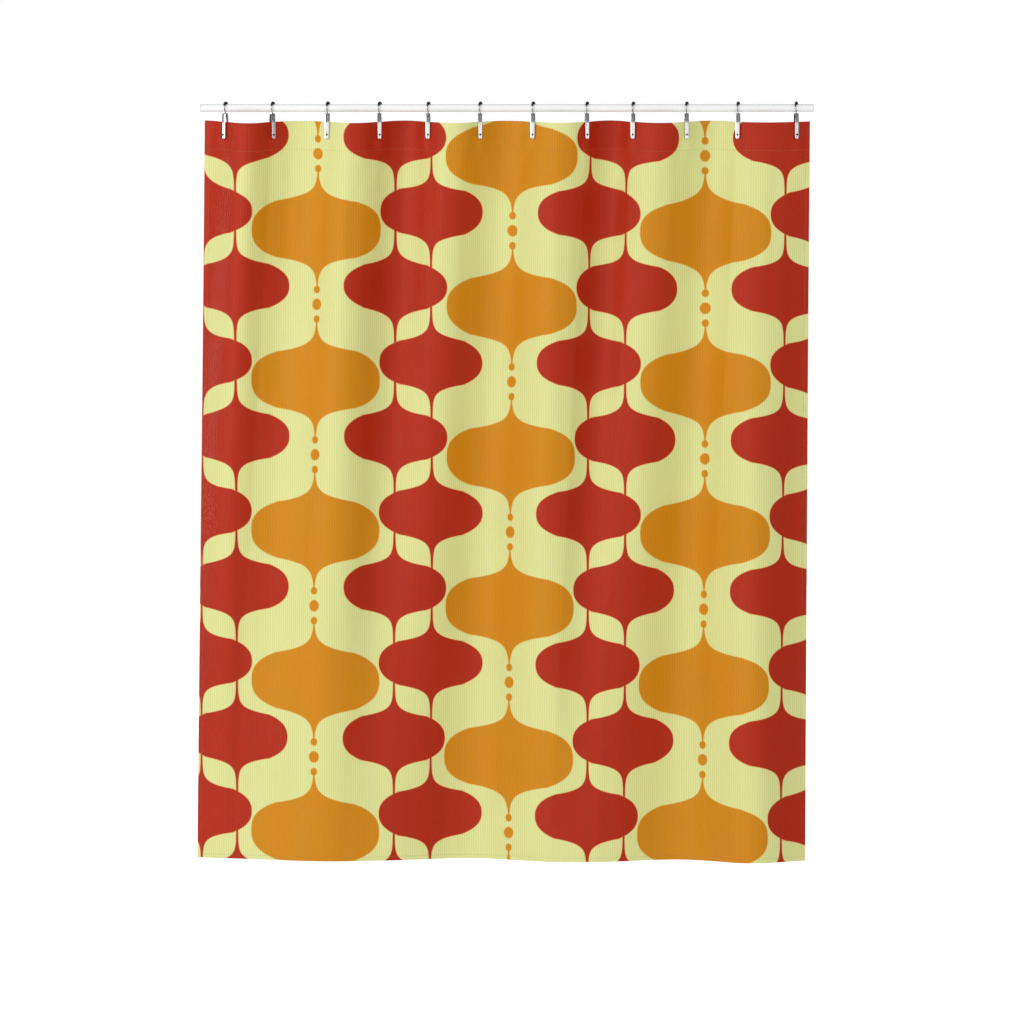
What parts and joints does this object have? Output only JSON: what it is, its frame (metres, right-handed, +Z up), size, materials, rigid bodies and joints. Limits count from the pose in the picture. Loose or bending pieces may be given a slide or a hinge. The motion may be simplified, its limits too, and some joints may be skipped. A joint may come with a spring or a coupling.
{
  "type": "shower curtain",
  "caption": "Printed shower curtain hung by chrome hooks on a straight white rod; it draws along the rod and swings.",
  "frame": {"origin": "on the axis of the rod, halfway along it, where the rod is held up by its two ends", "axes": "+X along the rod to the right as seen from the front, -Y out of the printed front, +Z up"},
  "size_m": [1.5638, 0.1322, 1.9318],
  "materials": {
    "printed_cloth": "satin ribbed polyester, printed",
    "hook_chrome": "polished",
    "sleeve_plastic": "smooth dark plastic",
    "rod_enamel": "white enamel, semi-gloss",
    "plug_plastic": "moulded, matt"
  },
  "bodies": {
    "rod": {"rod_tube": "rod_enamel", "rod_plug_left": "plug_plastic", "rod_plug_right": "plug_plastic"},
    "curtain": {"curtain_panel": "printed_cloth", "header_hem": "printed_cloth", "bottom_hem": "printed_cloth", "left_side_hem": "printed_cloth", "right_side_hem": "printed_cloth"},
    "hook_01": {"hook_01_wire": "hook_chrome", "hook_01_sleeve": "sleeve_plastic"},
    "link_01": {"hook_01_link": "hook_chrome", "hook_01_pin": "hook_chrome"},
    "hook_02": {"hook_02_wire": "hook_chrome", "hook_02_sleeve": "sleeve_plastic"},
    "link_02": {"hook_02_link": "hook_chrome", "hook_02_pin": "hook_chrome"},
    "hook_03": {"hook_03_wire": "hook_chrome", "hook_03_sleeve": "sleeve_plastic"},
    "link_03": {"hook_03_link": "hook_chrome", "hook_03_pin": "hook_chrome"},
    "hook_04": {"hook_04_wire": "hook_chrome", "hook_04_sleeve": "sleeve_plastic"},
    "link_04": {"hook_04_link": "hook_chrome", "hook_04_pin": "hook_chrome"},
    "hook_05": {"hook_05_wire": "hook_chrome", "hook_05_sleeve": "sleeve_plastic"},
    "link_05": {"hook_05_link": "hook_chrome", "hook_05_pin": "hook_chrome"},
    "hook_06": {"hook_06_wire": "hook_chrome", "hook_06_sleeve": "sleeve_plastic"},
    "link_06": {"hook_06_link": "hook_chrome", "hook_06_pin": "hook_chrome"},
    "hook_07": {"hook_07_wire": "hook_chrome", "hook_07_sleeve": "sleeve_plastic"},
    "link_07": {"hook_07_link": "hook_chrome", "hook_07_pin": "hook_chrome"},
    "hook_08": {"hook_08_wire": "hook_chrome", "hook_08_sleeve": "sleeve_plastic"},
    "link_08": {"hook_08_link": "hook_chrome", "hook_08_pin": "hook_chrome"},
    "hook_09": {"hook_09_wire": "hook_chrome", "hook_09_sleeve": "sleeve_plastic"},
    "link_09": {"hook_09_link": "hook_chrome", "hook_09_pin": "hook_chrome"},
    "hook_10": {"hook_10_wire": "hook_chrome", "hook_10_sleeve": "sleeve_plastic"},
    "link_10": {"hook_10_link": "hook_chrome", "hook_10_pin": "hook_chrome"},
    "hook_11": {"hook_11_wire": "hook_chrome", "hook_11_sleeve": "sleeve_plastic"},
    "link_11": {"hook_11_link": "hook_chrome", "hook_11_pin": "hook_chrome"},
    "hook_12": {"hook_12_wire": "hook_chrome", "hook_12_sleeve": "sleeve_plastic"},
    "link_12": {"hook_12_link": "hook_chrome", "hook_12_pin": "hook_chrome"}
  },
  "joints": [
    {"name": "curtain_swing", "type": "hinge", "parent": "rod", "child": "curtain", "pos_m": [0, 0, 0], "axis": [1, 0, 0], "range_deg": [-15, 15]},
    {"name": "curtain_draw", "type": "slide", "parent": "curtain", "child": "hook_12", "axis": [1, 0, 0], "range_m": [-1.1279, 0], "deforming": ["curtain_panel", "header_hem", "bottom_hem", "left_side_hem", "right_side_hem"]},
    {"name": "hook_01_slide", "type": "slide", "parent": "curtain", "child": "hook_01", "axis": [1, 0, 0], "range_m": [-0.0418, 0]},
    {"name": "hook_02_slide", "type": "slide", "parent": "curtain", "child": "hook_02", "axis": [1, 0, 0], "range_m": [-0.1316, 0]},
    {"name": "hook_03_slide", "type": "slide", "parent": "curtain", "child": "hook_03", "axis": [1, 0, 0], "range_m": [-0.2364, 0]},
    {"name": "hook_04_slide", "type": "slide", "parent": "curtain", "child": "hook_04", "axis": [1, 0, 0], "range_m": [-0.3351, 0]},
    {"name": "hook_05_slide", "type": "slide", "parent": "curtain", "child": "hook_05", "axis": [1, 0, 0], "range_m": [-0.428, 0]},
    {"name": "hook_06_slide", "type": "slide", "parent": "curtain", "child": "hook_06", "axis": [1, 0, 0], "range_m": [-0.5268, 0]},
    {"name": "hook_07_slide", "type": "slide", "parent": "curtain", "child": "hook_07", "axis": [1, 0, 0], "range_m": [-0.6276, 0]},
    {"name": "hook_08_slide", "type": "slide", "parent": "curtain", "child": "hook_08", "axis": [1, 0, 0], "range_m": [-0.7303, 0]},
    {"name": "hook_09_slide", "type": "slide", "parent": "curtain", "child": "hook_09", "axis": [1, 0, 0], "range_m": [-0.8182, 0]},
    {"name": "hook_10_slide", "type": "slide", "parent": "curtain", "child": "hook_10", "axis": [1, 0, 0], "range_m": [-0.92, 0]},
    {"name": "hook_11_slide", "type": "slide", "parent": "curtain", "child": "hook_11", "axis": [1, 0, 0], "range_m": [-1.0178, 0]},
    {"name": "link_01_swivel", "type": "hinge", "parent": "hook_01", "child": "link_01", "pos_m": [-0.71491, -0.006, -0.014], "axis": [0, 0, 1], "range_deg": [-25, 25]},
    {"name": "link_02_swivel", "type": "hinge", "parent": "hook_02", "child": "link_02", "pos_m": [-0.59505, -0.006, -0.014], "axis": [0, 0, 1], "range_deg": [-25, 25]},
    {"name": "link_03_swivel", "type": "hinge", "parent": "hook_03", "child": "link_03", "pos_m": [-0.45544, -0.006, -0.014], "axis": [0, 0, 1], "range_deg": [-25, 25]},
    {"name": "link_04_swivel", "type": "hinge", "parent": "hook_04", "child": "link_04", "pos_m": [-0.32373, -0.006, -0.014], "axis": [0, 0, 1], "range_deg": [-25, 25]},
    {"name": "link_05_swivel", "type": "hinge", "parent": "hook_05", "child": "link_05", "pos_m": [-0.19992, -0.006, -0.014], "axis": [0, 0, 1], "range_deg": [-25, 25]},
    {"name": "link_06_swivel", "type": "hinge", "parent": "hook_06", "child": "link_06", "pos_m": [-0.06821, -0.006, -0.014], "axis": [0, 0, 1], "range_deg": [-25, 25]},
    {"name": "link_07_swivel", "type": "hinge", "parent": "hook_07", "child": "link_07", "pos_m": [0.06614, -0.006, -0.014], "axis": [0, 0, 1], "range_deg": [-25, 25]},
    {"name": "link_08_swivel", "type": "hinge", "parent": "hook_08", "child": "link_08", "pos_m": [0.20311, -0.006, -0.014], "axis": [0, 0, 1], "range_deg": [-25, 25]},
    {"name": "link_09_swivel", "type": "hinge", "parent": "hook_09", "child": "link_09", "pos_m": [0.32034, -0.006, -0.014], "axis": [0, 0, 1], "range_deg": [-25, 25]},
    {"name": "link_10_swivel", "type": "hinge", "parent": "hook_10", "child": "link_10", "pos_m": [0.456, -0.006, -0.014], "axis": [0, 0, 1], "range_deg": [-25, 25]},
    {"name": "link_11_swivel", "type": "hinge", "parent": "hook_11", "child": "link_11", "pos_m": [0.58639, -0.006, -0.014], "axis": [0, 0, 1], "range_deg": [-25, 25]},
    {"name": "link_12_swivel", "type": "hinge", "parent": "hook_12", "child": "link_12", "pos_m": [0.73391, -0.006, -0.014], "axis": [0, 0, 1], "range_deg": [-25, 25]}
  ],
  "couplings": [
    {"joint": "hook_01_slide", "follows": "curtain_draw", "ratio": 0.036574},
    {"joint": "hook_02_slide", "follows": "curtain_draw", "ratio": 0.11628},
    {"joint": "hook_03_slide", "follows": "curtain_draw", "ratio": 0.20911},
    {"joint": "hook_04_slide", "follows": "curtain_draw", "ratio": 0.2967},
    {"joint": "hook_05_slide", "follows": "curtain_draw", "ratio": 0.37903},
    {"joint": "hook_06_slide", "follows": "curtain_draw", "ratio": 0.46661},
    {"joint": "hook_07_slide", "follows": "curtain_draw", "ratio": 0.55595},
    {"joint": "hook_08_slide", "follows": "curtain_draw", "ratio": 0.64704},
    {"joint": "hook_09_slide", "follows": "curtain_draw", "ratio": 0.72499},
    {"joint": "hook_10_slide", "follows": "curtain_draw", "ratio": 0.8152},
    {"joint": "hook_11_slide", "follows": "curtain_draw", "ratio": 0.90191}
  ]
}
